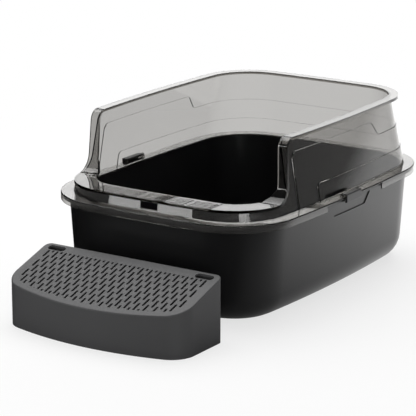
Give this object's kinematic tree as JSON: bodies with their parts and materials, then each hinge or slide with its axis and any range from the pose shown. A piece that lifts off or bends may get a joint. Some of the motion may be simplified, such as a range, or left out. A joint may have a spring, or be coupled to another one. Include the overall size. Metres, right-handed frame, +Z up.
{
  "type": "high-sided litter box",
  "caption": "High-sided cat litter box: a deep black tray, a clear smoke shroud with a low front entry, side latches, and a separate slotted entry step.",
  "frame": {"origin": "centre of the tray's flat underside, on the surface that it stands on", "axes": "+Z up; the low entry and the step face -Y; +X is to the right when facing +Y"},
  "size_m": [0.4636, 0.79, 0.3],
  "materials": {
    "tray_black": "satin moulded plastic",
    "shroud_smoke": "clear smoke plastic, polished",
    "latch_black": "satin moulded plastic",
    "step_grey": "matte moulded plastic"
  },
  "bodies": {
    "tray": {"tray": "tray_black"},
    "shroud": {"shroud": "shroud_smoke"},
    "left_latch": {"left_latch": "latch_black"},
    "right_latch": {"right_latch": "latch_black"},
    "step": {"step": "step_grey"}
  },
  "joints": [
    {"name": "shroud_lift", "type": "slide", "parent": "tray", "child": "shroud", "axis": [0, 0, 1], "range_m": [0, 0.2]},
    {"name": "left_latch_hinge", "type": "hinge", "parent": "shroud", "child": "left_latch", "pos_m": [-0.2224, -0.012, 0.1792], "axis": [0, 1, 0], "range_deg": [0, 95]},
    {"name": "right_latch_hinge", "type": "hinge", "parent": "shroud", "child": "right_latch", "pos_m": [0.2224, -0.012, 0.1792], "axis": [0, -1, 0], "range_deg": [0, 95]},
    {"name": "step_slide", "type": "slide", "parent": "tray", "child": "step", "axis": [0, -1, 0], "range_m": [0, 0.25]}
  ]
}
